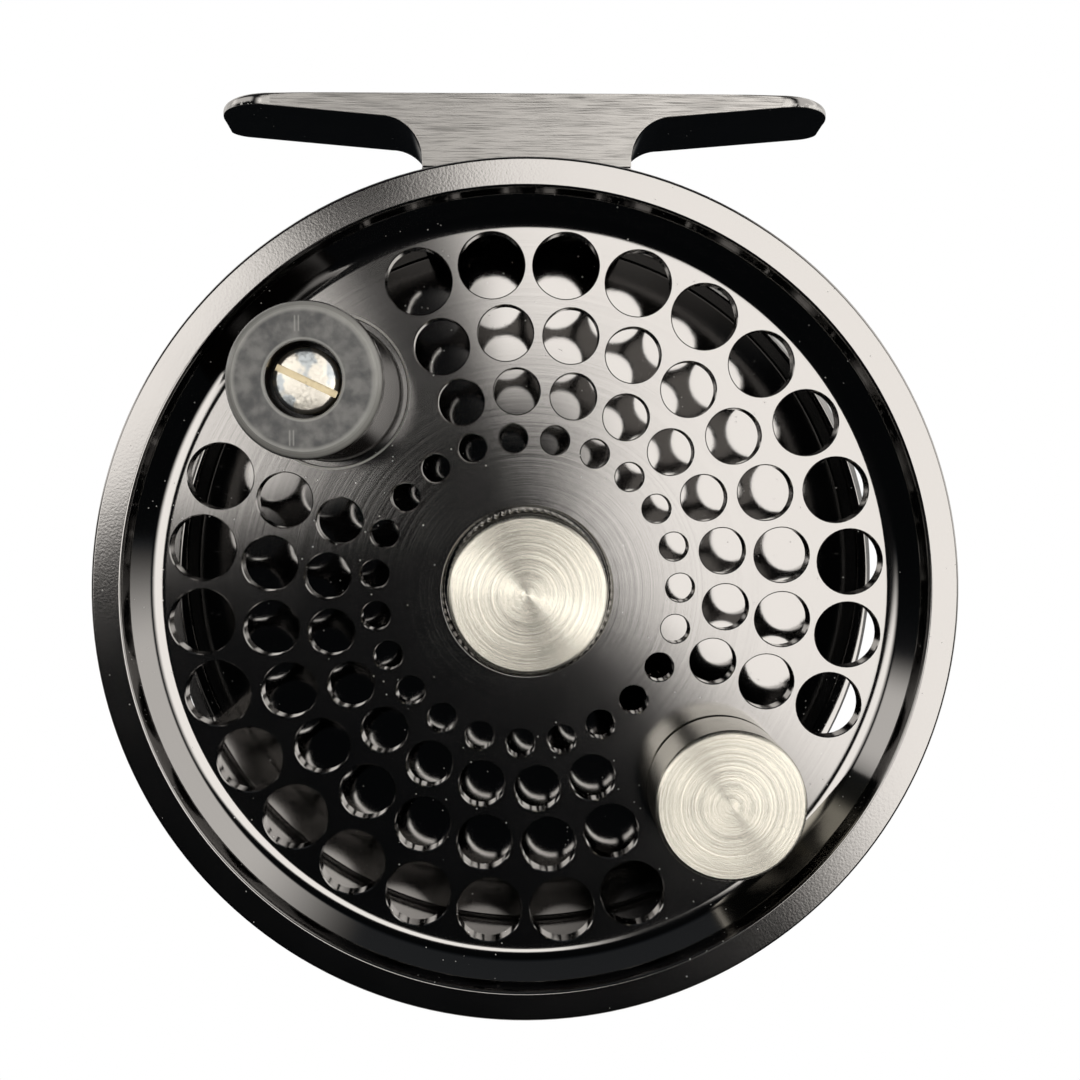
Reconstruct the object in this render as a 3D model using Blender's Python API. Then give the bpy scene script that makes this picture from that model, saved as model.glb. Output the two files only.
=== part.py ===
"""Trout fly reel of the 3 1/4 inch class, built as the separate pieces it comes apart into.

The reel hangs under a rod. Its origin is the middle of the flat top of the foot, +Z is up,
+X runs along the rod, and -Y is the handle side. Lengths below are in millimetres, and
every mesh is scaled to metres as its object is made. Turned pieces are a closed profile
of (radius, y) points spun about their own axis, which runs along Y.
"""

import math

import bmesh
import bpy
from mathutils import Matrix, Vector

MM = 0.001

# ---- driving dimensions ---------------------------------------------------------------
RIM_RADIUS = 41.275            # palming rim of the spool, 3 1/4 inch across
AXIS_DROP = 48.7               # from the top of the foot down to the reel's axis
RIM_FRONT = -14.0              # y of the flat front of the rim
FACE = RIM_FRONT + 4.5         # y of the perforated spool face
FLANGE_BACK = FACE + 2.0       # line side of the front flange
REAR_FLANGE = 6.5              # line side of the rear flange
REAR_FLANGE_BACK = REAR_FLANGE + 1.4
REAR_FLANGE_RADIUS = 37.6
ARBOR_RADIUS = 13.0
CAVITY_RADIUS = 9.6            # bore of the arbor, behind its web
WEB_BACK = 0.3

HUB_RECESS_RADIUS = 8.4        # the cap sits in this recess of the face
HUB_RECESS_FLOOR = FACE + 4.0
HUB_BOSS_RADIUS = 5.9          # threaded boss that the cap screws on to
HUB_BOSS_FRONT = -10.4

FRAME_RADIUS = 39.8
FRAME_BORE = 38.1
RING_BORE = 38.7
RING_FRONT = RIM_FRONT + 1.6
PLATE_FRONT = 8.3              # inner face of the frame's back plate
PLATE_BACK = 12.3
POCKET_RADIUS = 20.0           # pocket in the back plate for the click work
POCKET_FLOOR = 10.7

FOOT_LENGTH = 63.0
FOOT_WIDTH = 15.0
FOOT_TIP = 0.95                # thickness of the wings at the tip
FOOT_ROOT = 2.15               # and at the root
FOOT_HEIGHT = 6.8
STEM_WIDTH = 20.5
STEM_FILLET = 4.2

GAP = 0.3                      # left between two pieces that sit against each other
SLIP = 0.12                    # left all round a piece that turns or slides in another

PATTERN_ANGLE = 44.2           # middle of the drilled pattern, degrees up from +X
PATTERN_SPAN = 130.0           # each drilled fan covers this much of the circle
# circle radius, hole radius, holes in each of the two fans, sides of a hole
FAN_RINGS = ((31.93, 3.2, 11, 12), (25.3, 2.7, 10, 10), (19.6, 2.25, 9, 8))
INNER_RING = (15.05, 1.4, 23, 6)
ARM_RADIUS = 27.3              # handle and counterweight, from the reel's axis
HANDLE_ANGLE = PATTERN_ANGLE + 90.0

SPINDLE_RADIUS = 3.0
PIN_CIRCLE = 6.8               # three thrust pins pass through the plate on this circle
THRUST_PIN_RADIUS = 0.8
PAWL_RADIUS = 17.4             # pawl pin and spring screw, from the reel's axis
PAWL_ANGLE = 62.0
SPRING_ANGLE = 112.0
GEAR_TIP = 13.4
GEAR_SCREW_CIRCLE = 11.25
GEAR_FRONT = REAR_FLANGE_BACK + GAP
GEAR_BACK = GEAR_FRONT + 1.4

FINE = 64                      # sides of the large turned pieces
MEDIUM = 24
SMALL = 16
TINY = 8

for old in list(bpy.data.objects):
    bpy.data.objects.remove(old, do_unlink=True)


# ---- finishes -------------------------------------------------------------------------
BLACK = ("black_anodised", (0.022, 0.021, 0.021), 0.3, 1.0)
SILVER = ("turned_aluminium", (0.82, 0.81, 0.78), 0.28, 1.0)
STEEL = ("steel", (0.62, 0.6, 0.57), 0.3, 1.0)
SPRING_STEEL = ("spring_steel", (0.4, 0.39, 0.38), 0.35, 1.0)
BRONZE = ("bronze", (0.55, 0.37, 0.16), 0.35, 1.0)
PLASTIC = ("dark_plastic", (0.05, 0.049, 0.047), 0.45, 0.0)
WHITE_PLASTIC = ("white_plastic", (0.75, 0.74, 0.7), 0.5, 0.0)
RUBBER = ("rubber", (0.02, 0.02, 0.02), 0.7, 0.0)
FRICTION = ("friction_composite", (0.34, 0.2, 0.1), 0.8, 0.0)


def finish(name, spec):
    """Make one object's own Principled material."""
    label, colour, roughness, metallic = spec
    material = bpy.data.materials.new(name + "_" + label)
    material.use_nodes = True
    shader = material.node_tree.nodes["Principled BSDF"]
    shader.inputs["Base Color"].default_value = (*colour, 1.0)
    shader.inputs["Roughness"].default_value = roughness
    shader.inputs["Metallic"].default_value = metallic
    return material


# ---- shapes ---------------------------------------------------------------------------
def empty(name, location, parent=None):
    """Stand an empty on an axis; the pieces that turn about that axis are its children."""
    holder = bpy.data.objects.new(name, None)
    bpy.context.collection.objects.link(holder)
    holder.location = Vector(location) * MM
    holder.parent = parent
    return holder


def build(name, mesh, spec, parent, location=(0, 0, 0)):
    """Turn a bmesh drawn in millimetres into a named object in metres."""
    bmesh.ops.remove_doubles(mesh, verts=mesh.verts, dist=0.0005)
    bmesh.ops.recalc_face_normals(mesh, faces=mesh.faces)
    bmesh.ops.scale(mesh, vec=(MM, MM, MM), verts=mesh.verts)
    data = bpy.data.meshes.new(name)
    mesh.to_mesh(data)
    mesh.free()
    data.shade_smooth()
    data.set_sharp_from_angle(angle=math.radians(32))
    obj = bpy.data.objects.new(name, data)
    bpy.context.collection.objects.link(obj)
    obj.parent = parent
    obj.location = Vector(location) * MM
    if spec is not None:
        data.materials.append(finish(name, spec))
    return obj


def spun(profile, sides=MEDIUM):
    """Spin a closed (radius, y) profile all the way round the Y axis."""
    mesh = bmesh.new()
    verts = [mesh.verts.new((radius, y, 0.0)) for radius, y in profile]
    edges = []
    for here, after in zip(verts, verts[1:] + verts[:1]):
        if here.co.x > 0.0 or after.co.x > 0.0:
            edges.append(mesh.edges.new((here, after)))
    bmesh.ops.spin(
        mesh, geom=verts + edges, cent=(0, 0, 0), axis=(0, 1, 0), angle=math.tau,
        steps=sides, use_merge=True,
    )
    return mesh


def prism(outline, low, high, along="Y"):
    """Extrude a closed outline of (x, z) points along Y, or of (x, y) points along Z."""
    mesh = bmesh.new()
    shift = Vector((0, high - low, 0)) if along == "Y" else Vector((0, 0, high - low))
    verts = []
    for a, b in outline:
        verts.append(mesh.verts.new((a, low, b) if along == "Y" else (a, b, low)))
    face = mesh.faces.new(verts)
    grown = bmesh.ops.extrude_face_region(mesh, geom=[face], use_keep_orig=True)
    moved = [item for item in grown["geom"] if isinstance(item, bmesh.types.BMVert)]
    bmesh.ops.translate(mesh, vec=shift, verts=moved)
    return mesh


def bar(radius, low, high, sides=TINY, at=(0, 0), along="Y"):
    """A plain round bar between two levels, at an (x, z) place along Y or (x, y) along Z."""
    mesh = bmesh.new()
    middle = (low + high) / 2
    if along == "Y":
        place = Matrix.Translation((at[0], middle, at[1])) @ Matrix.Rotation(math.pi / 2, 4, "X")
    else:
        place = Matrix.Translation((at[0], at[1], middle))
    bmesh.ops.create_cone(
        mesh, cap_ends=True, segments=sides, radius1=radius, radius2=radius,
        depth=high - low, matrix=place,
    )
    return mesh


def moved(mesh, at):
    """Shift a bmesh to an (x, z) place."""
    bmesh.ops.translate(mesh, vec=(at[0], 0, at[1]), verts=mesh.verts)
    return mesh


def upright(mesh, x):
    """Turn a spun bmesh so that its axis runs along Z, at x on the middle line."""
    turn = Matrix.Rotation(math.pi / 2, 3, "X")
    bmesh.ops.rotate(mesh, cent=(0, 0, 0), matrix=turn, verts=mesh.verts)
    bmesh.ops.translate(mesh, vec=(x, 0, 0), verts=mesh.verts)
    return mesh


def gathered(pieces):
    """Put several bmeshes that do not touch into one."""
    whole = bmesh.new()
    for piece in pieces:
        carrier = bpy.data.meshes.new("carrier")
        piece.to_mesh(carrier)
        piece.free()
        whole.from_mesh(carrier)
        bpy.data.meshes.remove(carrier)
    return whole


def carve(target, mesh, name, operation="DIFFERENCE"):
    """Cut, join or intersect a target with a hidden tool that stands where it does."""
    tool = build(name, mesh, None, target.parent, target.location / MM)
    tool.hide_render = True
    tool.display_type = "WIRE"
    step = target.modifiers.new(name, "BOOLEAN")
    step.operation = operation
    step.solver = "EXACT"
    step.object = tool


def polar(radius, degrees):
    """The (x, z) point at a radius and an angle up from +X, seen from the handle side."""
    angle = math.radians(degrees)
    return radius * math.cos(angle), radius * math.sin(angle)


def circle_of(count, radius, first=0.0):
    """(x, z) points spaced evenly round a circle."""
    return [polar(radius, first + 360.0 * i / count) for i in range(count)]


def arc(centre, radius, start, end, steps):
    """Points along an arc, both ends included, with angles in degrees."""
    points = []
    for i in range(steps + 1):
        a, b = polar(radius, start + (end - start) * i / steps)
        points.append((centre[0] + a, centre[1] + b))
    return points


def tube(inner, outer, low, high):
    """Profile of a plain ring."""
    return [(inner, low), (outer, low), (outer, high), (inner, high)]


arm = polar(ARM_RADIUS, HANDLE_ANGLE)
reel_axis = empty("reel_axis", (0, 0, -AXIS_DROP))
handle_axis = empty("handle_axis", (arm[0], 0, arm[1]), reel_axis)
weight_axis = empty("weight_axis", (-arm[0], 0, -arm[1]), reel_axis)


# ---- frame: front ring, bottom wall, foot lug and back plate, from one bar --------------
WINDOW_FRONT = FLANGE_BACK + GAP
RIGHT_WINDOW = (-63.0, 73.0)   # open angles of the cage, degrees up from +X
LEFT_WINDOW = (107.0, 205.0)
LUG_TOP = AXIS_DROP - FOOT_HEIGHT - GAP
LUG_HALF = 11.0
FOOT_SCREW_X = 5.5
FOOT_SCREW_RADIUS = 1.25
FOOT_SCREW_HEAD = 2.3
FOOT_SCREW_SEAT = 39.2         # height above the axis where the heads stop
PORTS = 24                     # drain holes in the back plate
PORT_CIRCLE = 30.0
PORT_RADIUS = 2.6


def sector(inner, outer, angles, steps):
    """Outline of part of a flat ring in the (x, z) plane."""
    start, end = angles
    return arc((0, 0), outer, start, end, steps) + arc((0, 0), inner, end, start, steps)


def make_frame():
    edge = 1.0
    bore = SPINDLE_RADIUS + GAP
    cup = [
        (RING_BORE, RING_FRONT), (FRAME_RADIUS, RING_FRONT),
        (FRAME_RADIUS, PLATE_BACK - edge), (FRAME_RADIUS - edge, PLATE_BACK),
        (bore, PLATE_BACK), (bore, POCKET_FLOOR),
        (POCKET_RADIUS, POCKET_FLOOR), (POCKET_RADIUS, PLATE_FRONT),
        (FRAME_BORE, PLATE_FRONT), (FRAME_BORE, WINDOW_FRONT), (RING_BORE, WINDOW_FRONT),
    ]
    frame = build("frame", spun(cup, FINE), BLACK, reel_axis)
    lip = 0.3                      # stands proud round the inner face of the plate
    windows = []
    for angles, steps in ((RIGHT_WINDOW, 16), (LEFT_WINDOW, 12)):
        windows.append(prism(sector(36, 44, angles, steps), WINDOW_FRONT - 0.1, PLATE_FRONT - lip))
    carve(frame, gathered(windows), "frame_windows")

    seat = FRAME_BORE + 0.3
    corner = math.degrees(math.acos(LUG_HALF / seat))
    lug = [(-LUG_HALF, LUG_TOP), (LUG_HALF, LUG_TOP)]
    lug += arc((0, 0), seat, corner, 180 - corner, 8)
    carve(frame, prism(lug, WINDOW_FRONT + 0.1, PLATE_FRONT + 0.5), "frame_lug", "UNION")

    bores = []
    for place in circle_of(PORTS, PORT_CIRCLE, 180.0 / PORTS):
        bores.append(bar(PORT_RADIUS, 7, 14, TINY, place))
    for place in circle_of(3, PIN_CIRCLE, 90):
        bores.append(bar(THRUST_PIN_RADIUS + SLIP, 9, 14, TINY, place))
    for angle in (PAWL_ANGLE, SPRING_ANGLE):
        bores.append(bar(0.8 + SLIP, 9, 11.8, TINY, polar(PAWL_RADIUS, angle)))
    stepped = [
        (0, 36.5), (FOOT_SCREW_HEAD + SLIP, 36.5), (FOOT_SCREW_HEAD + SLIP, FOOT_SCREW_SEAT + GAP),
        (FOOT_SCREW_RADIUS + SLIP, FOOT_SCREW_SEAT + GAP), (FOOT_SCREW_RADIUS + SLIP, 43), (0, 43),
    ]
    for x in (-FOOT_SCREW_X, FOOT_SCREW_X):
        bores.append(upright(spun(stepped, SMALL), x))
    carve(frame, gathered(bores), "frame_bores")


make_frame()


# ---- foot: T-shaped bar, flat on top, with a rounded plan at both tips -----------------
def make_foot():
    half = FOOT_LENGTH / 2
    stem = STEM_WIDTH / 2
    root = stem + STEM_FILLET
    right = [(half, -FOOT_TIP), (root, -FOOT_ROOT)]
    right += arc((root, -FOOT_ROOT - STEM_FILLET), STEM_FILLET, 90, 180, 8)[1:]
    right.append((stem, -FOOT_HEIGHT))
    outline = [(half, 0.0)] + right
    outline += [(-x, z) for x, z in reversed(outline)]
    foot = build("reel_foot", prism(outline, -FOOT_WIDTH / 2, FOOT_WIDTH / 2), BLACK, None)

    front_reach = 6.5              # the front corners are a long quarter ellipse
    front_depth = 9.5
    back_corner = 2.3
    edge = FOOT_WIDTH / 2
    plan = []
    for i in range(9):
        angle = math.radians(-90 + 90 * i / 8)
        x = half - front_reach + front_reach * math.cos(angle)
        plan.append((x, -edge + front_depth + front_depth * math.sin(angle)))
    plan += arc((half - back_corner, edge - back_corner), back_corner, 0, 90, 5)
    plan += [(-x, y) for x, y in reversed(plan)]
    carve(foot, prism(plan, -9, 1, "Z"), "foot_plan", "INTERSECT")

    holes = []
    for x in (-FOOT_SCREW_X, FOOT_SCREW_X):
        holes.append(bar(FOOT_SCREW_RADIUS + SLIP, -8, -2.6, TINY, (x, 0), "Z"))
    carve(foot, gathered(holes), "foot_screw_holes")


make_foot()


def make_foot_screws():
    """Button heads sunk in the lug, shanks up into the foot."""
    for side, x in (("left", -FOOT_SCREW_X), ("right", FOOT_SCREW_X)):
        seat = FOOT_SCREW_SEAT - AXIS_DROP
        profile = [
            (0, seat - 0.9), (1.5, seat - 0.9), (FOOT_SCREW_HEAD, seat - 0.3),
            (FOOT_SCREW_HEAD, seat), (FOOT_SCREW_RADIUS, seat), (FOOT_SCREW_RADIUS, -3.0), (0, -3.0),
        ]
        screw = build("foot_screw_" + side, upright(spun(profile, SMALL), 0), STEEL, None, (x, 0, 0))
        socket = bar(0.8, seat - 2, seat - 0.3, 6, (0, 0), "Z")
        carve(screw, socket, "foot_screw_socket_" + side)


make_foot_screws()


# ---- spool: rim, drilled face, arbor and rear flange turned in one piece ---------------
HANDLE_RECESS_RADIUS = 7.35
HANDLE_RECESS_DEPTH = 0.8
HANDLE_SHANK = 1.5
WEIGHT_SHANK = 1.2
WEIGHT_HEAD = 2.2
WEIGHT_SEAT = FLANGE_BACK - 1.1
SPOOL_BORE = 4.9


def make_spool():
    wall_top = 37.8                # the bevelled mouth of the dish
    ring_inner = 38.6              # inner edge of the flat front of the rim
    wall_foot = 36.8
    dish = 35.2                    # where the flat of the face begins
    wall_back = 38.45
    skirt_bore = 40.15
    fillet = [(dish, FACE), (dish + 0.9, FACE - 0.3), (wall_foot, FACE - 1.2)]
    profile = [
        (HUB_RECESS_RADIUS, FACE), *fillet, (wall_top, RIM_FRONT + 0.7),
        (ring_inner, RIM_FRONT), (RIM_RADIUS - 0.2, RIM_FRONT), (RIM_RADIUS, RIM_FRONT + 0.2),
        (RIM_RADIUS, -8.0), (skirt_bore, -8.0), (skirt_bore, RIM_FRONT + 1.2),
        (wall_back, RIM_FRONT + 1.2), (wall_back, FLANGE_BACK), (ARBOR_RADIUS, FLANGE_BACK),
        (ARBOR_RADIUS, REAR_FLANGE), (REAR_FLANGE_RADIUS, REAR_FLANGE),
        (REAR_FLANGE_RADIUS, REAR_FLANGE_BACK), (CAVITY_RADIUS, REAR_FLANGE_BACK),
        (CAVITY_RADIUS, WEB_BACK), (3.7, WEB_BACK), (3.7, -1.2), (SPOOL_BORE, -1.2),
        (SPOOL_BORE, HUB_BOSS_FRONT), (HUB_BOSS_RADIUS, HUB_BOSS_FRONT),
        (HUB_BOSS_RADIUS, HUB_RECESS_FLOOR), (HUB_RECESS_RADIUS, HUB_RECESS_FLOOR),
    ]
    spool = build("spool", spun(profile, FINE), BLACK, reel_axis)

    low = FACE - 1
    high = FLANGE_BACK + 1
    drills = []
    for circle, radius, count, sides in FAN_RINGS:
        for middle in (PATTERN_ANGLE, PATTERN_ANGLE + 180):
            for i in range(count):
                angle = middle - PATTERN_SPAN / 2 + PATTERN_SPAN * i / (count - 1)
                drills.append(bar(radius, low, high, sides, polar(circle, angle)))
    circle, radius, count, sides = INNER_RING
    for place in circle_of(count, circle, 1.3):
        drills.append(bar(radius, low, high, sides, place))
    stepped = [
        (0, low), (HANDLE_RECESS_RADIUS, low), (HANDLE_RECESS_RADIUS, FACE + HANDLE_RECESS_DEPTH),
        (HANDLE_SHANK + SLIP, FACE + HANDLE_RECESS_DEPTH), (HANDLE_SHANK + SLIP, high), (0, high),
    ]
    drills.append(moved(spun(stepped, MEDIUM), arm))
    stepped = [
        (0, low), (WEIGHT_SHANK + SLIP, low), (WEIGHT_SHANK + SLIP, WEIGHT_SEAT),
        (WEIGHT_HEAD + SLIP, WEIGHT_SEAT), (WEIGHT_HEAD + SLIP, high), (0, high),
    ]
    drills.append(moved(spun(stepped, SMALL), (-arm[0], -arm[1])))
    for place in circle_of(3, GEAR_SCREW_CIRCLE, 30):
        drills.append(bar(0.6 + SLIP, 3.5, 9, TINY, place))
    carve(spool, gathered(drills), "spool_drilling")


make_spool()


# ---- what rides in the spool -----------------------------------------------------------
CLUTCH_BORE = 5.6
front_bushing = tube(SPINDLE_RADIUS + SLIP, SPOOL_BORE - GAP, -6.6, -1.5)
build("front_bushing", spun(front_bushing), BRONZE, reel_axis)
one_way_clutch = tube(CLUTCH_BORE, CAVITY_RADIUS - GAP, 0.6, 3.9)
build("one_way_clutch", spun(one_way_clutch), STEEL, reel_axis)


def make_click_gear():
    """A toothed ring on the back of the spool, with 30 pointed teeth."""
    teeth = 30
    root = 12.3
    outline = []
    for i in range(teeth):
        outline.append(polar(root, 360.0 * i / teeth))
        outline.append(polar(GEAR_TIP, 360.0 * (i + 0.5) / teeth))
    gear = build("click_gear", prism(outline, GEAR_FRONT, GEAR_BACK), STEEL, reel_axis)
    bores = [bar(CAVITY_RADIUS + 0.6, 5, 12, MEDIUM)]
    carve(gear, gathered(bores), "click_gear_bore")
    holes = [bar(0.6 + SLIP, 5, 12, TINY, place) for place in circle_of(3, GEAR_SCREW_CIRCLE, 30)]
    carve(gear, gathered(holes), "click_gear_holes")


make_click_gear()


def make_gear_screws():
    head = GEAR_BACK + 0.1
    for i, place in enumerate(circle_of(3, GEAR_SCREW_CIRCLE, 30)):
        profile = [(0, 4.0), (0.6, 4.0), (0.6, head), (1.0, head), (1.0, head + 0.5), (0, head + 0.5)]
        build("gear_screw_%d" % (i + 1), spun(profile, TINY), STEEL, reel_axis, (place[0], 0, place[1]))


make_gear_screws()


# ---- counterweight, screwed on from the line side --------------------------------------
WEIGHT_RADIUS = 7.2
WEIGHT_TALL = 8.0


def make_counterweight():
    seat = FACE - GAP
    top = FACE - WEIGHT_TALL
    bore = WEIGHT_SHANK + SLIP
    profile = [
        (0, top), (WEIGHT_RADIUS - 0.4, top), (WEIGHT_RADIUS, top + 0.4), (WEIGHT_RADIUS, seat),
        (bore, seat), (bore, -14.6), (0, -14.6),
    ]
    build("counterweight", spun(profile), SILVER, weight_axis)
    head = WEIGHT_SEAT + GAP
    profile = [
        (0, -14.2), (WEIGHT_SHANK, -14.2), (WEIGHT_SHANK, head), (WEIGHT_HEAD, head),
        (WEIGHT_HEAD, FLANGE_BACK - 0.1), (0, FLANGE_BACK - 0.1),
    ]
    screw = build("counterweight_screw", spun(profile, SMALL), STEEL, weight_axis)
    slot = prism([(-3, -0.3), (3, -0.3), (3, 0.3), (-3, 0.3)], head + 0.4, -7)
    carve(screw, slot, "counterweight_screw_slot")


make_counterweight()


# ---- handle: a knob that turns on a bushing round a shoulder screw ---------------------
HANDLE_TALL = 19.0
KNOB_BORE = 2.4
COUNTERBORE = 3.5
SCREW_HEAD = 2.67
SLOT_ANGLE = -25.0


def make_handle():
    top = FACE - HANDLE_TALL
    floor = FACE + HANDLE_RECESS_DEPTH
    washer_front = floor - GAP - 0.4
    foot = washer_front - 0.25
    counterbore_floor = top + 4.6
    knob = [
        (KNOB_BORE, foot), (6.7, foot), (6.9, foot - 0.5), (6.6, foot - 2.0), (5.7, foot - 5.0),
        (5.45, foot - 8.0), (5.6, foot - 11.0), (6.2, foot - 14.0), (6.65, top + 2.2),
        (6.75, top + 1.2), (6.6, top + 0.6), (6.05, top), (COUNTERBORE + 0.35, top),
        (COUNTERBORE, top + 0.35), (COUNTERBORE, counterbore_floor), (KNOB_BORE, counterbore_floor),
    ]
    build("handle_knob", spun(knob), PLASTIC, handle_axis)
    washer = tube(2.0, 5.6, washer_front, washer_front + 0.4)
    build("handle_washer", spun(washer, SMALL), WHITE_PLASTIC, handle_axis)
    bushing_front = counterbore_floor - 0.7
    bushing = tube(HANDLE_SHANK + SLIP, KNOB_BORE - GAP, bushing_front, foot - 0.1)
    build("handle_bushing", spun(bushing, SMALL), BRONZE, handle_axis)

    seat = bushing_front - GAP
    head = seat - 2.0
    profile = [
        (0, head), (SCREW_HEAD - 0.35, head), (SCREW_HEAD, head + 0.35), (SCREW_HEAD, seat),
        (HANDLE_SHANK, seat), (HANDLE_SHANK, FLANGE_BACK - 0.2), (0, FLANGE_BACK - 0.2),
    ]
    screw = build("handle_screw", spun(profile, SMALL), STEEL, handle_axis)
    slot = [(-4, -0.4), (4, -0.4), (4, 0.4), (-4, 0.4)]
    mesh = prism(slot, head - 1, head + 0.9)
    turn = Matrix.Rotation(math.radians(-SLOT_ANGLE), 3, "Y")
    bmesh.ops.rotate(mesh, cent=(0, 0, 0), matrix=turn, verts=mesh.verts)
    carve(screw, mesh, "handle_screw_slot")


make_handle()


# ---- cap: screwed on the hub boss, over a flat seal ------------------------------------
CAP_TALL = 4.0
CAP_RADIUS = 7.72
CAP_SKIRT = 7.9


def make_cap():
    front = FACE - CAP_TALL
    seal_front = HUB_BOSS_FRONT - GAP - 0.5
    ceiling = seal_front - GAP
    back = HUB_RECESS_FLOOR - 0.4
    bore = HUB_BOSS_RADIUS + GAP
    profile = [
        (0, front), (CAP_RADIUS - 0.5, front), (CAP_RADIUS, front + 0.5), (CAP_RADIUS, FACE - 0.6),
        (CAP_SKIRT, FACE - 0.4), (CAP_SKIRT, back), (bore, back), (bore, ceiling), (0, ceiling),
    ]
    build("spool_cap", spun(profile), SILVER, reel_axis)
    seal = tube(4.4, HUB_BOSS_RADIUS, seal_front, seal_front + 0.5)
    build("cap_seal", spun(seal, SMALL), RUBBER, reel_axis)


make_cap()


# ---- spindle, fixed in the back plate ---------------------------------------------------
SPINDLE_FRONT = -8.4
SPINDLE_BACK = 18.4
KNOB_SCREW_SHANK = 1.2


def make_spindle():
    groove = 2.2
    bore = KNOB_SCREW_SHANK + SLIP
    profile = [
        (0, SPINDLE_FRONT), (2.3, SPINDLE_FRONT), (2.6, SPINDLE_FRONT + 0.3), (2.6, -7.7),
        (groove, -7.7), (groove, -7.0), (SPINDLE_RADIUS, -7.0), (SPINDLE_RADIUS, 9.3),
        (5.0, 9.3), (5.0, POCKET_FLOOR - GAP), (SPINDLE_RADIUS, POCKET_FLOOR - GAP),
        (SPINDLE_RADIUS, SPINDLE_BACK), (bore, SPINDLE_BACK), (bore, 13.0), (0, 13.0),
    ]
    build("spindle", spun(profile), STEEL, reel_axis)
    clip = sector(groove + SLIP, 4.2, (-150, 150), 16)
    build("spindle_clip", prism(clip, -7.6, -7.1), SPRING_STEEL, reel_axis)


make_spindle()


# ---- click: a pawl on a pin, pushed by a leaf spring -----------------------------------
PAWL_FRONT = GEAR_FRONT + 0.1
PAWL_BACK = GEAR_BACK + 0.1
PAWL_BORE = 0.8 + SLIP


def make_click():
    pin = polar(PAWL_RADIUS, PAWL_ANGLE)
    pawl_axis = empty("pawl_axis", (pin[0], 0, pin[1]), reel_axis)
    build("pawl_pin", spun([(0, 8.35), (0.8, 8.35), (0.8, 11.5), (0, 11.5)], TINY), STEEL, pawl_axis)

    nose = PAWL_RADIUS - GEAR_TIP - 0.3
    body = 2.0
    touch = math.degrees(math.acos(body / nose))
    outline = arc((0, 0), body, 180 + touch, 540 - touch, 12)
    outline.append((-nose, 0.0))
    turned = []
    angle = math.radians(PAWL_ANGLE)
    for a, b in outline:
        along = a * math.cos(angle) - b * math.sin(angle)
        turned.append((along, a * math.sin(angle) + b * math.cos(angle)))
    pawl = build("click_pawl", prism(turned, PAWL_FRONT, PAWL_BACK), STEEL, pawl_axis)
    carve(pawl, bar(PAWL_BORE, 5, 12), "click_pawl_bore")

    place = polar(PAWL_RADIUS, SPRING_ANGLE)
    screw = [(0, 8.35), (1.4, 8.35), (1.4, 8.85), (0.8, 8.85), (0.8, 11.5), (0, 11.5)]
    build("click_spring_screw", spun(screw, TINY), STEEL, reel_axis, (place[0], 0, place[1]))

    eye = [(place[0] + a, place[1] + b) for a, b in circle_of(SMALL, 1.7)]
    spring = build("click_spring", prism(eye, 9.0, 9.9), SPRING_STEEL, reel_axis)
    leaf = sector(PAWL_RADIUS + 1.15, PAWL_RADIUS + 1.45, (68.0, SPRING_ANGLE), 8)
    carve(spring, prism(leaf, 9.1, 9.8), "click_spring_leaf", "UNION")
    carve(spring, bar(0.8 + SLIP, 8, 11, TINY, place), "click_spring_eye")


make_click()


# ---- drag: hub and disc in the arbor, squeezed from behind ------------------------------
DRAG_OUTER = CAVITY_RADIUS - 0.8
DRAG_TRAVEL = 0.35
PLATE_SIDE = 6.8               # front of the pressure plate with the drag backed off
WASHER_FRONT = PLATE_BACK + DRAG_TRAVEL + 0.25


def make_drag():
    bore = SPINDLE_RADIUS + SLIP
    hub = [
        (bore, 0.7), (CLUTCH_BORE - SLIP, 0.7), (CLUTCH_BORE - SLIP, 4.2), (DRAG_OUTER, 4.2),
        (DRAG_OUTER, 5.1), (bore, 5.1),
    ]
    build("drag_hub", spun(hub), STEEL, reel_axis)
    disc = tube(4.0, DRAG_OUTER - 0.2, 5.3, PLATE_SIDE - 0.45)
    build("friction_disc", spun(disc, SMALL), FRICTION, reel_axis)
    plate = tube(3.4, DRAG_OUTER, PLATE_SIDE, PLATE_SIDE + 1.1)
    build("pressure_plate", spun(plate, SMALL), STEEL, reel_axis)
    for i, place in enumerate(circle_of(3, PIN_CIRCLE, 90)):
        low = PLATE_SIDE + 1.1 + 0.15
        high = WASHER_FRONT - 0.15
        pin = [(0, low), (THRUST_PIN_RADIUS, low), (THRUST_PIN_RADIUS, high), (0, high)]
        build("thrust_pin_%d" % (i + 1), spun(pin, TINY), STEEL, reel_axis, (place[0], 0, place[1]))
    washer = tube(3.4, 8.4, WASHER_FRONT, WASHER_FRONT + 0.8)
    build("thrust_washer", spun(washer, SMALL), STEEL, reel_axis)
    first = WASHER_FRONT + 0.8 + 0.1
    for i in range(3):
        low = first + i * 0.75
        cone = [(3.6, low + 0.35), (7.6, low), (7.6, low + 0.35), (3.6, low + 0.7)]
        build("drag_spring_%d" % (i + 1), spun(cone, SMALL), SPRING_STEEL, reel_axis)


make_drag()


# ---- drag knob behind the plate ---------------------------------------------------------
KNOB_RADIUS = 12.5
KNOB_FRONT = PLATE_BACK + DRAG_TRAVEL + 0.4
KNOB_BACK = 20.4
KNOB_CEILING = 17.0
DETENT_CIRCLE = 10.8
DETENT_RADIUS = 0.75


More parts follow.
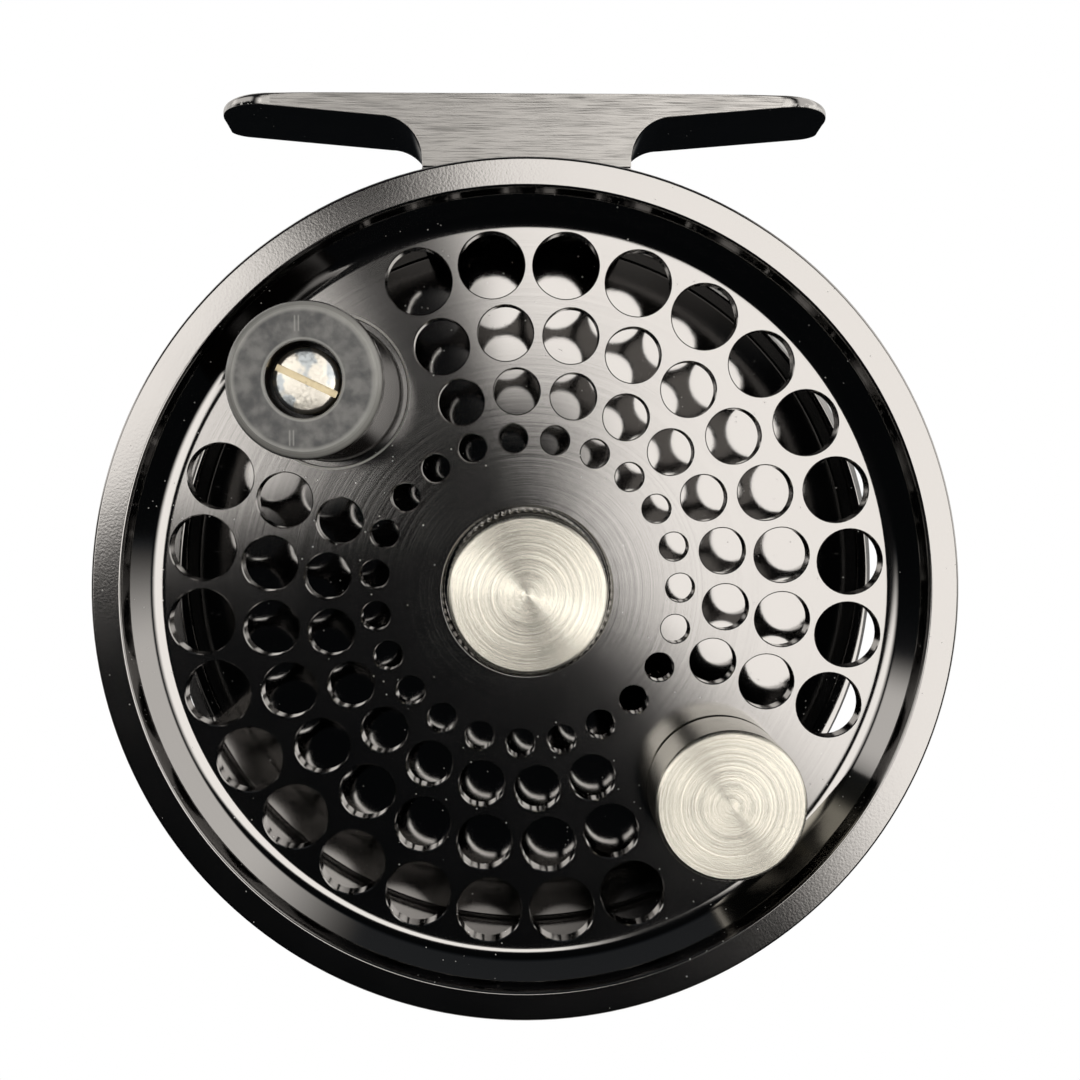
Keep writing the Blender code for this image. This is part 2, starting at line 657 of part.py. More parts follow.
def make_drag_knob():
    lobes = 12
    sides = lobes * 4
    outline = []
    for i in range(sides):
        angle = 360.0 * i / sides
        depth = 0.55 * (1 - math.cos(math.radians(lobes * angle))) / 2
        outline.append(polar(KNOB_RADIUS - depth, angle))
    knob = build("drag_knob", prism(outline, KNOB_FRONT, KNOB_BACK), BLACK, reel_axis)
    inside = [
        (0, KNOB_FRONT - 1), (9.2, KNOB_FRONT - 1), (9.2, KNOB_CEILING),
        (SPINDLE_RADIUS + SLIP, KNOB_CEILING), (SPINDLE_RADIUS + SLIP, 18.2), (4.4, 18.2),
        (4.4, KNOB_BACK + 1), (0, KNOB_BACK + 1),
    ]
    carve(knob, spun(inside), "drag_knob_inside")
    pocket = polar(DETENT_CIRCLE, 90)
    carve(knob, bar(DETENT_RADIUS + SLIP, KNOB_FRONT - 1, 16.6, SMALL, pocket), "drag_knob_pocket")

    ball = bmesh.new()
    bmesh.ops.create_uvsphere(ball, u_segments=12, v_segments=8, radius=DETENT_RADIUS)
    reach = PLATE_BACK + DRAG_TRAVEL + 0.15 + DETENT_RADIUS
    build("detent_ball", ball, STEEL, reel_axis, (pocket[0], reach, pocket[1]))
    spring = tube(0.4, 0.7, reach + DETENT_RADIUS + 0.1, 16.4)
    build("detent_spring", spun(spring, TINY), SPRING_STEEL, reel_axis, (pocket[0], 0, pocket[1]))

    head = 18.9
    screw = [
        (0, 13.4), (KNOB_SCREW_SHANK, 13.4), (KNOB_SCREW_SHANK, head), (3.9, head),
        (3.9, head + 0.8), (3.6, head + 1.1), (0, head + 1.1),
    ]
    screw = build("knob_screw", spun(screw, SMALL), STEEL, reel_axis)
    slot = prism([(-5, -0.4), (5, -0.4), (5, 0.4), (-5, 0.4)], head + 0.5, head + 2)
    carve(screw, slot, "knob_screw_slot")


make_drag_knob()
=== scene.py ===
import math

import bmesh
import bpy
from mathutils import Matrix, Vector


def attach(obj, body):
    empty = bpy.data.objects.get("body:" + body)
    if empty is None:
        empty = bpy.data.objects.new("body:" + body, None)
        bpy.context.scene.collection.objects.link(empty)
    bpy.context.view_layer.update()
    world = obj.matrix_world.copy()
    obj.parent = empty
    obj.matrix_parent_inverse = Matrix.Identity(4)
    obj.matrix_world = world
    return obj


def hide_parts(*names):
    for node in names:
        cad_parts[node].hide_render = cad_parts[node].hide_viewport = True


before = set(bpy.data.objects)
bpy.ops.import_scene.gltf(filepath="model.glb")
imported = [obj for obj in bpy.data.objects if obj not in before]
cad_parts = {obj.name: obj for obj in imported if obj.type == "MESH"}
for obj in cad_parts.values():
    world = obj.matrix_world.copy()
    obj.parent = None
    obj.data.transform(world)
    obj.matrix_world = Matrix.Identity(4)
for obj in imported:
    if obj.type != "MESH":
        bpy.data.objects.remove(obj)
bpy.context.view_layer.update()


# ---- camera --------------------------------------------------------------------------
# A short lens close in front of the reel, a little above its axis. All lengths in this
# script are in millimetres, and each piece is scaled to metres once it is made.
MM = 0.001
camera_data = bpy.data.cameras.new("camera")
camera_data.lens = 47.2
camera_data.clip_start = 0.01
camera = bpy.data.objects.new("camera", camera_data)
bpy.context.scene.collection.objects.link(camera)
camera.location = Vector((-1.8, -148.1, -36.2)) * MM
aim = Vector((1.15, -14.0, -43.4)) * MM
camera.rotation_euler = (aim - camera.location).to_track_quat("-Z", "Y").to_euler()
bpy.context.scene.camera = camera
bpy.context.scene.view_settings.view_transform = "Standard"


# ---- studio --------------------------------------------------------------------------
# Two large soft windows, one to the right and one at the upper left, in a dark room; the
# backdrop that the camera sees is white, and the pale floor is far below the reel.
class Wire:
    """One output of a node tree. Sums written with wires add their Math nodes."""

    def __init__(self, tree, socket):
        self.tree = tree
        self.socket = socket

    def node(self, kind, settings=None, inputs=None, output=0):
        """Add any node: its settings come first, then its values and links."""
        made = self.tree.nodes.new("ShaderNode" + kind)
        for key, value in (settings or {}).items():
            setattr(made, key, value)
        for key, value in (inputs or {}).items():
            if isinstance(value, Wire):
                self.tree.links.new(value.socket, made.inputs[key])
            else:
                made.inputs[key].default_value = value
        return Wire(self.tree, made.outputs[output])

    def maths(self, operation, *others):
        """A Math node on this wire and any others, in that order."""
        return self.node("Math", {"operation": operation}, dict(enumerate((self, *others))))

    def __add__(self, other):
        return self.maths("ADD", other)

    __radd__ = __add__

    def __sub__(self, other):
        return self.maths("SUBTRACT", other)

    def __rsub__(self, other):
        return self.node("Math", {"operation": "SUBTRACT"}, {0: other, 1: self})

    def __mul__(self, other):
        return self.maths("MULTIPLY", other)

    __rmul__ = __mul__

    def __lt__(self, other):
        return self.maths("LESS_THAN", other)

    def __abs__(self):
        return self.maths("ABSOLUTE")

    def rise(self, low, high):
        """0 below low, 1 above high, and a smooth step between; a fall if low is the larger."""
        ends = {"Value": self, "From Min": low, "From Max": high}
        return self.node("MapRange", {"interpolation_type": "SMOOTHSTEP"}, ends)

    def parts(self):
        """The three parts of a vector."""
        split = self.node("SeparateXYZ", inputs={0: self})
        outputs = split.socket.node.outputs
        return [Wire(self.tree, outputs[i]) for i in range(3)]

    def blend(self, low, high):
        """Mix two colours by this wire."""
        made = self.node("Mix", {"data_type": "RGBA"}, {"Factor": self})
        mix = made.socket.node
        for key, value in ((6, low), (7, high)):
            if isinstance(value, Wire):
                self.tree.links.new(value.socket, mix.inputs[key])
            else:
                mix.inputs[key].default_value = (*value, 1.0)
        return Wire(self.tree, mix.outputs[2])


WINDOW_GLOW = 2.7
ROOM_GLOW = 0.006
WINDOW_COLOUR = (1.0, 0.965, 0.925)
ROOM_COLOUR = (0.75, 0.87, 1.0)

world = bpy.data.worlds.new("studio")
bpy.context.scene.world = world
world.use_nodes = True
sky = world.node_tree
backdrop = sky.nodes["Background"]
backdrop.inputs["Color"].default_value = (1, 1, 1, 1)
backdrop.inputs["Strength"].default_value = 1.0
room = sky.nodes.new("ShaderNodeBackground")
choice = sky.nodes.new("ShaderNodeMixShader")
rays = sky.nodes.new("ShaderNodeLightPath")
towards = Wire(sky, sky.nodes.new("ShaderNodeTexCoord").outputs["Generated"])
across, along, upwards = towards.parts()

# A direction is given by its angle off the Y axis and by its angle around that axis, which
# is 0 to the right and 90 straight up. left_clock is the same from the left. Degrees.
off_axis = abs(along).maths("ARCCOSINE") * math.degrees(1)
clock = upwards.maths("ARCTAN2", across) * math.degrees(1)
left_clock = upwards.maths("ARCTAN2", 0 - across) * math.degrees(1)
behind = along.rise(-0.2, 0.2)

# The two windows in front, cut off towards the ceiling.
right_window = clock.rise(-59, -41) * clock.rise(112, 90) * off_axis.rise(1.4, 5.4)
left_window = left_clock.rise(54, 38) * left_clock.rise(-14, 0) * off_axis.rise(5, 13)
below_ceiling = upwards.rise(0.36, 0.26)
in_front = (right_window + left_window) * below_ceiling * off_axis.rise(58, 36) * (1 - behind)

# Weaker light from behind, a bright patch at each side, and a trace from overhead.
wide_of_axis = off_axis.rise(24, 34) * off_axis.rise(78, 62) * upwards.rise(-0.6, -0.2) * 0.34
near_axis = off_axis.rise(34, 24) * upwards.rise(0.06, 0.25) * 0.22
at_back = (wide_of_axis + near_axis) * behind
right_side = clock.rise(-14, 4) * clock.rise(62, 38)
left_side = left_clock.rise(28, 20) * left_clock.rise(4, 12)
at_sides = (right_side + left_side) * off_axis.rise(58, 68) * 0.5
overhead = off_axis.rise(50, 80) * upwards.rise(-0.2, 0.9) * 0.02
lit = in_front + at_back + at_sides + overhead
sky.links.new((lit * WINDOW_GLOW + ROOM_GLOW).socket, room.inputs["Strength"])
sky.links.new(lit.rise(0, 0.04).blend(ROOM_COLOUR, WINDOW_COLOUR).socket, room.inputs["Color"])
sky.links.new(rays.outputs["Is Camera Ray"], choice.inputs["Fac"])
sky.links.new(room.outputs[0], choice.inputs[1])
sky.links.new(backdrop.outputs[0], choice.inputs[2])
sky.links.new(choice.outputs[0], sky.nodes["World Output"].inputs["Surface"])

bpy.ops.object.select_all(action="DESELECT")
bpy.ops.mesh.primitive_circle_add(
    vertices=96, radius=0.25, fill_type="NGON", location=(0, 0.33, -0.5)
)
floor = bpy.context.object
floor.name = "floor"
pale = bpy.data.materials.new("pale_floor")
pale.use_nodes = True
grain = Wire(pale.node_tree, pale.node_tree.nodes.new("ShaderNodeTexCoord").outputs["Object"])
cloud = grain.node("TexNoise", inputs={"Vector": grain, "Scale": 6.0})
plain = pale.node_tree.nodes["Principled BSDF"]
paper = cloud.blend((0.8, 0.8, 0.79), (0.84, 0.84, 0.83))
pale.node_tree.links.new(paper.socket, plain.inputs["Base Color"])
plain.inputs["Roughness"].default_value = 0.9
floor.data.materials.append(pale)


# ---- spool ---------------------------------------------------------------------------
# One turned piece of black anodised aluminium: the palming rim, the drilled front flange
# set back in a dish, the arbor and the rear flange. Every hole has a broken edge.
AXIS = -48.7                    # height of the reel's axis under the top of the foot
RIM = 41.275                    # radius of the palming rim
RIM_FRONT = -14.0
FACE = RIM_FRONT + 4.5
LINE_SIDE = FACE + 2.0          # back of the drilled flange
REAR_FLANGE = 6.5
REAR_BACK = REAR_FLANGE + 1.4
PATTERN_ANGLE = 44.2            # middle of one of the two opposite fields of holes
PATTERN_SPAN = 130.0
HOLE_RINGS = (                  # circle, hole radius, holes in one field, sides of a hole
    (31.93, 3.2, 11, 40), (25.3, 2.7, 10, 36), (19.6, 2.25, 9, 32),
)
HUB_RING = (15.05, 1.4, 23)     # the small holes go all the way round
HUB_RING_START = 1.3
HANDLE_RECESS = 7.35
HANDLE_SHANK_HOLE = 1.62
WEIGHT_SCREW_HOLE = 1.32
WEIGHT_SCREW_HEAD = 2.32
SMOOTH_ANGLE = 28.0
ARM = 27.3                      # handle and counterweight, from the axis
DISH_START = 35.3               # the dish, from the drilled face out to the rim
DISH_END = 38.3
DISH_FILLET = 2.2
HOLE_EDGE = 0.1                 # how much a hole's edge is broken


def arc(centre, radius, start, end, steps):
    """Points along an arc in a plane, both ends included, with angles in degrees."""
    points = []
    for i in range(steps + 1):
        angle = math.radians(start + (end - start) * i / steps)
        points.append((centre[0] + radius * math.cos(angle), centre[1] + radius * math.sin(angle)))
    return points


def eased(section, radius, steps=2, closed=True):
    """Round the corners of a section, each by no more than a third of the shorter side."""
    soft = []
    last = len(section) - 1
    for i, (r, y) in enumerate(section):
        if not closed and i in (0, last):
            soft.append((r, y))
            continue
        here = Vector((r, y))
        before = Vector(section[i - 1]) - here
        after = Vector(section[(i + 1) % len(section)]) - here
        if before.angle(after) > math.radians(160):
            soft.append((r, y))
            continue
        reach = min(radius, before.length / 3, after.length / 3)
        start = here + before.normalized() * reach
        end = here + after.normalized() * reach
        for k in range(steps + 1):
            t = k / steps
            soft.append(tuple(start * (1 - t) ** 2 + here * 2 * t * (1 - t) + end * t * t))
    return soft


def draw_chain(name, points):
    """Start from a plane merged to one point, and extrude it from point to point."""
    bpy.ops.object.select_all(action="DESELECT")
    bpy.ops.mesh.primitive_plane_add(size=1, location=(0, 0, 0))
    piece = bpy.context.object
    piece.name = name
    bpy.ops.object.mode_set(mode="EDIT")
    bpy.ops.mesh.select_mode(type="VERT")
    bpy.ops.mesh.merge(type="CENTER")
    bpy.ops.transform.translate(value=points[0])
    for here, after in zip(points, points[1:]):
        step = Vector(after) - Vector(here)
        bpy.ops.mesh.extrude_vertices_move(TRANSFORM_OT_translate={"value": step})
    return piece


def close_chain(piece):
    """Join the two ends of a drawn chain, or fill it when the whole chain is picked."""
    chain = bmesh.from_edit_mesh(piece.data)
    for vert in chain.verts:
        vert.select_set(len(vert.link_edges) < 2)
    bmesh.update_edit_mesh(piece.data)
    bpy.ops.mesh.edge_face_add()


def turned(name, section, centre=(0.0, AXIS), sides=192):
    """Spin a section of (radius, y) points about an axis along Y through an (x, z) centre."""
    x, z = centre
    piece = draw_chain(name, [(x + r, y, z) for r, y in section])
    if section[0][0] > 0:
        close_chain(piece)
    bpy.ops.mesh.select_all(action="SELECT")
    bpy.ops.mesh.spin(steps=sides, angle=math.tau, center=(x, 0, z), axis=(0, 1, 0))
    bpy.ops.mesh.select_all(action="SELECT")
    bpy.ops.mesh.remove_doubles(threshold=0.0005)
    bpy.ops.mesh.normals_make_consistent(inside=False)
    bpy.ops.object.mode_set(mode="OBJECT")
    return piece


def copied(piece, shift):
    """A copy with its own mesh, moved by a shift."""
    twin = piece.copy()
    twin.data = piece.data.copy()
    bpy.context.collection.objects.link(twin)
    twin.location = Vector(shift)
    return twin


def joined(pieces):
    """Join pieces that do not touch into the first of them."""
    bpy.ops.object.select_all(action="DESELECT")
    for piece in pieces:
        piece.select_set(True)
    bpy.context.view_layer.objects.active = pieces[0]
    bpy.ops.object.join()
    bpy.ops.object.transform_apply(location=True, rotation=True, scale=True)
    return pieces[0]


def carve(piece, tool, operation="DIFFERENCE"):
    """Cut, join or intersect a piece with a tool, and take the tool away."""
    step = piece.modifiers.new("carve", "BOOLEAN")
    step.operation = operation
    step.object = tool
    bpy.ops.object.select_all(action="DESELECT")
    piece.select_set(True)
    bpy.context.view_layer.objects.active = piece
    bpy.ops.object.modifier_apply(modifier=step.name)
    bpy.data.objects.remove(tool)


def polar(radius, degrees, z=AXIS):
    """The (x, z) place at a radius and an angle up from +X, about the reel's axis."""
    angle = math.radians(degrees)
    return radius * math.cos(angle), z + radius * math.sin(angle)


def drill_section(radius, near, far, edge=HOLE_EDGE):
    """Section of a drill that goes through a plate and breaks the edge on both sides."""
    return [
        (0, near - 1), (radius + edge + 1, near - 1), (radius, near + edge),
        (radius, far - edge), (radius + edge + 1, far + 1), (0, far + 1),
    ]


def drilled(piece, groups):
    """Drill plates; a group is a section, a number of sides and the (x, z) places."""
    drills = []
    for section, sides, places in groups:
        first = turned("drill", section, (0, 0), sides)
        for x, z in places:
            drills.append(copied(first, (x, 0, z)))
        bpy.data.objects.remove(first)
    carve(piece, joined(drills))


def settle(piece):
    """Bring a finished piece from millimetres to metres, its place in its mesh, and shade it."""
    bpy.ops.object.select_all(action="DESELECT")
    piece.select_set(True)
    bpy.context.view_layer.objects.active = piece
    piece.location *= MM
    piece.scale = (MM, MM, MM)
    bpy.ops.object.transform_apply(location=True, rotation=True, scale=True)
    bpy.ops.object.shade_smooth_by_angle(angle=math.radians(SMOOTH_ANGLE))
    weights = piece.modifiers.new("weights", "WEIGHTED_NORMAL")
    weights.weight = 100
    weights.keep_sharp = True
    bpy.ops.object.modifier_apply(modifier=weights.name)
    return piece


def start_finish(name):
    """A new material: returns it, its shader, and the place on the piece in millimetres."""
    made = bpy.data.materials.new(name)
    made.use_nodes = True
    tree = made.node_tree
    shader = tree.nodes["Principled BSDF"]
    raw = Wire(tree, tree.nodes.new("ShaderNodeTexCoord").outputs["Object"])
    scaled = {0: raw, 1: (1000.0, 1000.0, 1000.0)}
    place = raw.node("VectorMath", {"operation": "MULTIPLY"}, scaled)
    return made, shader, place


def feed(shader, **inputs):
    """Link wires, or set constants, on a shader's sockets; names use _ for a space."""
    for key, value in inputs.items():
        socket = shader.inputs[key.replace("_", " ")]
        if isinstance(value, Wire):
            value.tree.links.new(value.socket, socket)
        elif isinstance(value, tuple):
            socket.default_value = (*value, 1.0)
        else:
            socket.default_value = value


def outward(place, centre=(0.0, AXIS)):
    """The distance from a turning axis, and the vector away from it."""
    shift = {0: place, 1: (-centre[0], 0.0, -centre[1])}
    flat = place.node("VectorMath", {"operation": "ADD"}, shift)
    flat = place.node("VectorMath", {"operation": "MULTIPLY"}, {0: flat, 1: (1.0, 0.0, 1.0)})
    length = flat.node("VectorMath", {"operation": "LENGTH"}, {0: flat}, "Value")
    return length, flat


def leaned(place, way, amount):
    """The surface normal leaned along a direction in the piece's own frame."""
    way = place.node("VectorMath", {"operation": "NORMALIZE"}, {0: way})
    lean = place.node("VectorMath", {"operation": "SCALE"}, {0: way, "Scale": amount})
    spaces = {"vector_type": "VECTOR", "convert_from": "OBJECT", "convert_to": "WORLD"}
    lean = place.node("VectorTransform", spaces, {0: lean})
    straight = place.node("NewGeometry", output="Normal")
    total = place.node("VectorMath", {"operation": "ADD"}, {0: straight, 1: lean})
    return place.node("VectorMath", {"operation": "NORMALIZE"}, {0: total})


def grooves(radius, pitch, detail=2.0):
    """Lathe grooves: a random rise and fall with the radius, from about -0.5 to 0.5."""
    settings = {"noise_dimensions": "1D"}
    inputs = {"W": radius, "Scale": 1 / pitch, "Detail": detail, "Roughness": 0.65}
    return radius.node("TexNoise", settings, inputs) - 0.5


def specks(place, pitch, size, share):
    """Dust: small dots, one in a share of the cells of a loose grid."""
    dots = place.node("TexVoronoi", inputs={"Vector": place, "Scale": 1 / pitch})
    chance = Wire(place.tree, dots.socket.node.outputs["Color"]).parts()[0]
    patches = place.node("TexNoise", inputs={"Vector": place, "Scale": 0.09, "Detail": 1.0})
    few = chance < patches.rise(0.35, 0.8) * share
    return (dots * pitch < size) * few


DYE = (0.30, 0.294, 0.288)      # what black anodising gives back of a bright light
DUST = (0.62, 0.62, 0.6)


def make_spool():
    section = [(8.4, FACE), (DISH_START - 0.03, FACE)]
    section += arc((DISH_START, FACE - DISH_FILLET), DISH_FILLET, 90, 45, 10)
    section += [
        (DISH_END, FACE - 2.1), (38.4, RIM_FRONT + 0.25), (38.6, RIM_FRONT), (RIM - 0.2, RIM_FRONT),
        (RIM, RIM_FRONT + 0.2), (RIM, -8.0), (40.15, -8.0), (40.15, RIM_FRONT + 1.2),
        (38.45, RIM_FRONT + 1.2), (38.45, LINE_SIDE), (13.0, LINE_SIDE),
        (13.0, REAR_FLANGE), (37.6, REAR_FLANGE), (37.6, REAR_BACK), (9.6, REAR_BACK),
        (9.6, 0.3), (3.7, 0.3), (3.7, -1.2), (4.9, -1.2), (4.9, -10.4), (5.9, -10.4),
        (5.9, FACE + 4.0), (8.4, FACE + 4.0),
    ]
    spool = turned("spool_body", eased(section, 0.12))
    groups = []
    for circle, radius, count, sides in HOLE_RINGS:
        places = []
        for middle in (PATTERN_ANGLE, PATTERN_ANGLE + 180):
            for i in range(count):
                angle = middle - PATTERN_SPAN / 2 + PATTERN_SPAN * i / (count - 1)
                places.append(polar(circle, angle))
        groups.append((drill_section(radius, FACE, LINE_SIDE), sides, places))
    circle, radius, count = HUB_RING
    places = [polar(circle, HUB_RING_START + 360 * i / count) for i in range(count)]
    groups.append((drill_section(radius, FACE, LINE_SIDE), 24, places))
    recess = [
        (0, FACE - 1), (HANDLE_RECESS + 1.28, FACE - 1), (HANDLE_RECESS, FACE + 0.28),
        (HANDLE_RECESS, FACE + 0.8), (HANDLE_SHANK_HOLE, FACE + 0.8),
        (HANDLE_SHANK_HOLE, LINE_SIDE + 1), (0, LINE_SIDE + 1),
    ]
    groups.append((recess, 72, [polar(ARM, PATTERN_ANGLE + 90)]))
    weight_hole = [
        (0, FACE - 1), (WEIGHT_SCREW_HOLE, FACE - 1), (WEIGHT_SCREW_HOLE, LINE_SIDE - 1.1),
        (WEIGHT_SCREW_HEAD, LINE_SIDE - 1.1), (WEIGHT_SCREW_HEAD, LINE_SIDE + 1),
        (0, LINE_SIDE + 1),
    ]
    groups.append((weight_hole, 32, [polar(ARM, PATTERN_ANGLE - 90)]))
    gear_hole = [(0, 3.5), (0.72, 3.5), (0.72, 9), (0, 9)]
    groups.append((gear_hole, 16, [polar(11.25, 30 + 120 * i) for i in range(3)]))
    drilled(spool, groups)
    return settle(spool)


def finish_spool():
    made, shader, place = start_finish("spool_black")
    radius, away = outward(place)
    depth = place.parts()[1]
    dust = specks(place, 0.85, 0.06, 1.1)
    cloud = place.node("TexNoise", inputs={"Vector": place, "Scale": 0.16, "Detail": 4.0})
    ring = radius.rise(DISH_END, DISH_END + 0.2) * depth.rise(RIM_FRONT + 0.4, RIM_FRONT + 0.2)
    dish = radius.rise(DISH_START, DISH_START + 0.2) * (1 - ring)
    peel = place.node("TexNoise", inputs={"Vector": place, "Scale": 4.2, "Detail": 2.0})
    lines = grooves(radius, 0.021) * 0.2 + grooves(radius, 0.4) * 0.02
    inside = depth.rise(LINE_SIDE - 0.3, LINE_SIDE)
    turned_normal = leaned(place, away, lines * (1 - dish) * (1 - ring) * (1 - 0.8 * inside))
    mottled = {"Height": peel, "Strength": 0.5, "Distance": ring * 0.000008}
    mottled["Normal"] = turned_normal
    bumped = place.node("Bump", inputs=mottled)
    # Painted highlight: a pale, rough, less metallic line round the chamfer of the handle's recess,
    # so the edge stays bright where the knob shades it.
    from_handle = outward(place, polar(ARM, PATTERN_ANGLE + 90))[0]
    recess_highlight = from_handle.rise(HANDLE_RECESS + 0.05, HANDLE_RECESS + 0.1)
    recess_highlight = recess_highlight * from_handle.rise(HANDLE_RECESS + 0.31, HANDLE_RECESS + 0.25)
    recess_highlight = recess_highlight * depth.rise(FACE + 0.3, FACE + 0.2)
    rough = 0.08 + 0.04 * cloud + 0.02 * ring - 0.02 * dish - 0.05 * inside
    rough = rough + 0.5 * dust + 0.3 * recess_highlight
    colour = dust.blend(recess_highlight.blend(DYE, (0.85, 0.84, 0.8)), DUST)
    feed(shader, Base_Color=colour, Roughness=rough, Normal=bumped,
         Metallic=1 - dust - 0.8 * recess_highlight)
    return made


spool = make_spool()
spool.data.materials.append(finish_spool())
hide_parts("spool")
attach(spool, "spool")


# ---- foot ----------------------------------------------------------------------------
# A T-shaped bar of black anodised aluminium, milled flat on top so that it lies in a rod's
# reel seat. Its front is brushed along its length, and the tips are scuffed by use.
FOOT_HALF = 31.15
FOOT_FRONT = -7.5
FOOT_BACK = 8.3
FOOT_TIP = 0.62                 # thickness of a wing at its tip and at its root
FOOT_ROOT = 2.15
FRONT_CORNER = (6.2, 9.5)       # the front corners are quarter ellipses
BACK_CORNER = 1.7
STEM = 10.25                    # half of the stem's length
STEM_FILLET = 4.2


def slab(name, outline, reach):
    """Fill a closed outline of (x, y, z) points and extrude the face by a vector."""
    piece = draw_chain(name, outline)
    close_chain(piece)
    bpy.ops.mesh.select_all(action="SELECT")
    bpy.ops.mesh.edge_face_add()
    bpy.ops.mesh.extrude_region_move(TRANSFORM_OT_translate={"value": reach})
    bpy.ops.mesh.select_all(action="SELECT")
    bpy.ops.mesh.normals_make_consistent(inside=False)
    bpy.ops.object.mode_set(mode="OBJECT")
    return piece


def soften(piece, width, angle, steps=2):
    """Round every edge sharper than an angle."""
    step = piece.modifiers.new("soften", "BEVEL")
    step.width = width
    step.segments = steps
    step.limit_method = "ANGLE"
    step.angle_limit = math.radians(angle)
    bpy.context.view_layer.objects.active = piece
    bpy.ops.object.modifier_apply(modifier=step.name)


def pick(piece, wanted, kind="FACE"):
    """In edit mode, select only the parts of a kind for which wanted(part) is true."""
    bpy.ops.mesh.select_mode(type=kind)
    bpy.ops.mesh.select_all(action="DESELECT")
    shape = bmesh.from_edit_mesh(piece.data)
    parts = {"FACE": shape.faces, "EDGE": shape.edges, "VERT": shape.verts}[kind]
    for part in parts:
        if wanted(part):
            part.select_set(True)
    bmesh.update_edit_mesh(piece.data)


def make_foot():
    root = STEM + STEM_FILLET
    right = [(FOOT_HALF + 1, 0.0), (FOOT_HALF + 1, -FOOT_TIP), (root, -FOOT_ROOT)]
    right += arc((root, -FOOT_ROOT - STEM_FILLET), STEM_FILLET, 90, 180, 16)[1:]
    right.append((STEM, -7.05))
    outline = [(x, FOOT_FRONT, z) for x, z in right]
    outline += [(-x, FOOT_FRONT, z) for x, z in reversed(right)]
    foot = slab("foot", outline, (0, FOOT_BACK - FOOT_FRONT, 0))

    plan = []
    for i in range(21):
        angle = math.radians(-90 + 90 * i / 20)
        x = FOOT_HALF - FRONT_CORNER[0] * (1 - math.cos(angle))
        plan.append((x, FOOT_FRONT + FRONT_CORNER[1] * (1 + math.sin(angle))))
    middle = (FOOT_HALF + 0.3 - BACK_CORNER, FOOT_BACK - BACK_CORNER)
    plan += arc(middle, BACK_CORNER, 0, 90, 10)
    outline = [(x, y, -9) for x, y in plan] + [(-x, y, -9) for x, y in reversed(plan)]
    carve(foot, slab("plan", outline, (0, 0, 10)), "INTERSECT")
    bpy.ops.object.mode_set(mode="EDIT")

    def tip_top(edge):
        return all(vert.co.z > -0.01 and abs(vert.co.x) > 22.9 for vert in edge.verts)

    pick(foot, tip_top, "EDGE")
    bpy.ops.mesh.bevel(offset=0.32, segments=4, affect="EDGES")
    bpy.ops.object.mode_set(mode="OBJECT")
    soften(foot, 0.12, 38)
    return settle(foot)


def finish_foot():
    made, shader, place = start_finish("brushed_black")
    across, depth, height = place.parts()
    front = depth.rise(-7.3, -7.45)
    stretch = {0: place, 1: (0.3, 0.3, 13.0)}
    streak_place = place.node("VectorMath", {"operation": "MULTIPLY"}, stretch)
    streaks = place.node("TexNoise", inputs={"Vector": streak_place, "Scale": 1.0, "Detail": 5.0})
    up = place.node("CombineXYZ", inputs={"X": 0.0, "Y": 0.0, "Z": 1.0})
    brushed = leaned(place, up, (streaks - 0.5) * (0.5 * front + 0.03))
    rub = place.node("TexNoise", inputs={"Vector": place, "Scale": 1.9, "Detail": 5.0})
    tip = abs(across).rise(24.5, 27.5) * abs(across).rise(30.4, 29.0) * depth.rise(1.5, -3.5)
    over_edge = height + FOOT_TIP + (FOOT_HALF + 1 - abs(across)) * 0.0865
    edge_line = over_edge.rise(0.45, 0.2) * over_edge.rise(0.02, 0.06)
    edge_line = edge_line + height.rise(-0.2, -0.08) * 0.6
    chips = tip * edge_line * rub.rise(0.47, 0.53)
    worn_line = depth.rise(-7.36, -7.4) * depth.rise(-7.5, -7.48) * height.rise(-0.4, -0.6)
    dust = specks(place, 1.2, 0.06, 0.7)
    bare = chips.maths("MAXIMUM", dust).maths("MAXIMUM", worn_line * 0.4)
    cloud = place.node("TexNoise", inputs={"Vector": place, "Scale": 0.3, "Detail": 3.0})
    rough = 0.08 + 0.2 * front + 0.05 * cloud + 0.3 * bare
    body = front.blend(DYE, (0.37, 0.362, 0.35))
    colour = bare.blend(body, (0.9, 0.89, 0.86))
    feed(shader, Base_Color=colour, Roughness=rough, Metallic=1 - bare, Normal=brushed)
    return made


foot = make_foot()
foot.data.materials.append(finish_foot())
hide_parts("reel_foot")
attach(foot, "frame")


# ---- frame ---------------------------------------------------------------------------
# The cage, milled from one bar: a thin front ring inside the palming rim, a lug under the
# foot, a wall along the bottom, and a back plate with a circle of drain ports.
CAGE = 39.8
PLATE_FRONT = 8.3
PLATE_BACK = 12.3
POCKET = 20.0                   # radius of the pocket for the click work
POCKET_FLOOR = 10.7
WINDOW_FRONT = LINE_SIDE + 0.3
RIGHT_WINDOW = (-63, 73, 37.9)  # start and end angle, and where the bevel of the rim starts
LEFT_WINDOW = (107, 205, 39.2)
PORTS = 24
PORT_RADIUS = 2.6
PORT_CIRCLE = 30.0
PIN_HOLE = 0.92                 # for the thrust pins, the pawl pin and the spring's screw
PIN_CIRCLE = 6.8
PAWL_CIRCLE = 17.4
LUG_HALF = 10.3
LUG_TOP = -7.1
FOOT_SCREW_X = 5.5
FOOT_SCREW_SEAT = AXIS + 39.2   # where the heads of the foot screws stop


